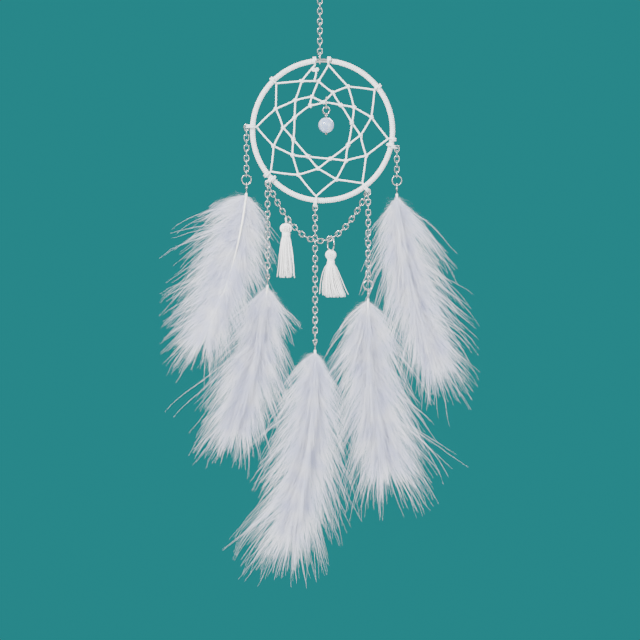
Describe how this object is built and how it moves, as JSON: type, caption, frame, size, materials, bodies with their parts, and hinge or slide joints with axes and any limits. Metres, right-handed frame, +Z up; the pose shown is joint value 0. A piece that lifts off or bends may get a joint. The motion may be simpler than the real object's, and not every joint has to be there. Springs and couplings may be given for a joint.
{
  "type": "dream catcher",
  "caption": "Hanging dream catcher: wrapped hoop with a cord web and a bead drop, feather strands on cable chain, and a chain swag with cotton tassels.",
  "frame": {"origin": "top of the hanging ring's eye, the point that bears on the nail or hook; the whole part hangs below it", "axes": "+Z up; the hoop and its web lie in the XZ plane; the front faces -Y; +X is to the right seen from the front"},
  "size_m": [0.1424, 0.0186, 0.3054],
  "materials": {
    "silver_hardware": "satin",
    "hoop_wrap_lace": "satin",
    "web_cord": "satin",
    "tassel_cotton": "matte",
    "marabou_plume": "matte",
    "feather_quill": "satin",
    "opal_bead": "gloss"
  },
  "bodies": {
    "hanger": {"hanging_ring": "silver_hardware"},
    "upper_chain": {"upper_chain": "silver_hardware"},
    "lower_chain": {"lower_chain": "silver_hardware"},
    "hoop": {"hoop_ring": "silver_hardware", "hoop_wire": "silver_hardware", "hoop_wrap": "hoop_wrap_lace", "web_cord": "web_cord", "start_knot": "web_cord", "right_hang_loop": "web_cord", "lower_left_hang_loop": "web_cord"},
    "bead_hanger": {"bead_link": "silver_hardware"},
    "bead": {"bead_pin": "silver_hardware", "bead": "opal_bead"},
    "left_strand": {"left_chain": "silver_hardware", "left_jump_ring": "silver_hardware"},
    "left_feather": {"left_eye_pin": "silver_hardware", "left_quill": "feather_quill", "left_plume": "marabou_plume"},
    "right_strand": {"right_chain": "silver_hardware", "right_jump_ring": "silver_hardware"},
    "right_feather": {"right_eye_pin": "silver_hardware", "right_quill": "feather_quill", "right_plume": "marabou_plume"},
    "lower_left_strand": {"lower_left_chain": "silver_hardware", "lower_left_jump_ring": "silver_hardware"},
    "lower_left_feather": {"lower_left_eye_pin": "silver_hardware", "lower_left_quill": "feather_quill", "lower_left_plume": "marabou_plume"},
    "lower_right_strand": {"lower_right_chain": "silver_hardware", "lower_right_jump_ring": "silver_hardware"},
    "lower_right_feather": {"lower_right_eye_pin": "silver_hardware", "lower_right_quill": "feather_quill", "lower_right_plume": "marabou_plume"},
    "centre_strand": {"centre_chain": "silver_hardware", "centre_jump_ring": "silver_hardware"},
    "centre_feather": {"centre_eye_pin": "silver_hardware", "centre_quill": "feather_quill", "centre_plume": "marabou_plume"},
    "swag": {"swag_left": "silver_hardware", "swag_middle": "silver_hardware", "swag_right": "silver_hardware"},
    "left_tassel": {"left_tassel_loop": "tassel_cotton", "left_tassel_head": "tassel_cotton", "left_tassel_binding": "tassel_cotton", "left_tassel_skirt": "tassel_cotton"},
    "right_tassel": {"right_tassel_loop": "silver_hardware", "right_tassel_head": "tassel_cotton", "right_tassel_binding": "tassel_cotton", "right_tassel_skirt": "tassel_cotton"}
  },
  "joints": [
    {"name": "chain_swing", "type": "hinge", "parent": "hanger", "child": "upper_chain", "pos_m": [0, 0, -0.01], "axis": [1, 0, 0], "range_deg": [-25, 25]},
    {"name": "chain_twist", "type": "hinge", "parent": "upper_chain", "child": "lower_chain", "pos_m": [0, 0, -0.02507], "axis": [0, 0, 1], "range_deg": [-30, 30]},
    {"name": "hoop_tilt", "type": "hinge", "parent": "lower_chain", "child": "hoop", "pos_m": [0, 0, -0.04095], "axis": [0, 1, 0], "range_deg": [-15, 15]},
    {"name": "bead_swing", "type": "hinge", "parent": "hoop", "child": "bead_hanger", "pos_m": [0.00331, 0, -0.06576], "axis": [1, 0, 0], "range_deg": [-30, 30]},
    {"name": "bead_sway", "type": "hinge", "parent": "bead_hanger", "child": "bead", "pos_m": [0.00331, 0, -0.06882], "axis": [0, 1, 0], "range_deg": [-25, 25]},
    {"name": "left_strand_sway", "type": "hinge", "parent": "hoop", "child": "left_strand", "pos_m": [-0.03819, 0, -0.07888], "axis": [0, 1, 0], "range_deg": [-2, 10]},
    {"name": "left_feather_swing", "type": "hinge", "parent": "left_strand", "child": "left_feather", "pos_m": [-0.03819, 0, -0.10904], "axis": [1, 0, 0], "range_deg": [-30, 30]},
    {"name": "right_strand_sway", "type": "hinge", "parent": "hoop", "child": "right_strand", "pos_m": [0.04003, 0, -0.08994], "axis": [0, 1, 0], "range_deg": [-10, 4]},
    {"name": "right_feather_swing", "type": "hinge", "parent": "right_strand", "child": "right_feather", "pos_m": [0.04003, 0, -0.10946], "axis": [1, 0, 0], "range_deg": [-30, 30]},
    {"name": "lower_left_strand_sway", "type": "hinge", "parent": "hoop", "child": "lower_left_strand", "pos_m": [-0.0272, -0.0012, -0.10807], "axis": [0, 1, 0], "range_deg": [-4, 8]},
    {"name": "lower_left_feather_swing", "type": "hinge", "parent": "lower_left_strand", "child": "lower_left_feather", "pos_m": [-0.0272, -0.0012, -0.15685], "axis": [1, 0, 0], "range_deg": [-30, 30]},
    {"name": "lower_right_strand_sway", "type": "hinge", "parent": "hoop", "child": "lower_right_strand", "pos_m": [0.02509, -0.0012, -0.11246], "axis": [0, 1, 0], "range_deg": [-8, 4]},
    {"name": "lower_right_feather_swing", "type": "hinge", "parent": "lower_right_strand", "child": "lower_right_feather", "pos_m": [0.02509, -0.0012, -0.1639], "axis": [1, 0, 0], "range_deg": [-30, 30]},
    {"name": "centre_strand_sway", "type": "hinge", "parent": "hoop", "child": "centre_strand", "pos_m": [-0.00247, 0, -0.12048], "axis": [0, 1, 0], "range_deg": [-1, 8]},
    {"name": "centre_feather_swing", "type": "hinge", "parent": "centre_strand", "child": "centre_feather", "pos_m": [-0.00247, 0, -0.19054], "axis": [1, 0, 0], "range_deg": [-30, 30]},
    {"name": "swag_swing", "type": "hinge", "parent": "hoop", "child": "swag", "pos_m": [-0.0272, 0.0012, -0.10807], "axis": [0.9965, 0, -0.0837], "range_deg": [-1, 25]},
    {"name": "left_tassel_swing", "type": "hinge", "parent": "swag", "child": "left_tassel", "pos_m": [-0.01758, 0.00508, -0.12726], "axis": [1, 0, 0], "range_deg": [-1, 15]},
    {"name": "right_tassel_swing", "type": "hinge", "parent": "swag", "child": "right_tassel", "pos_m": [0.00574, 0.0068, -0.13755], "axis": [1, 0, 0], "range_deg": [-1, 15]}
  ]
}
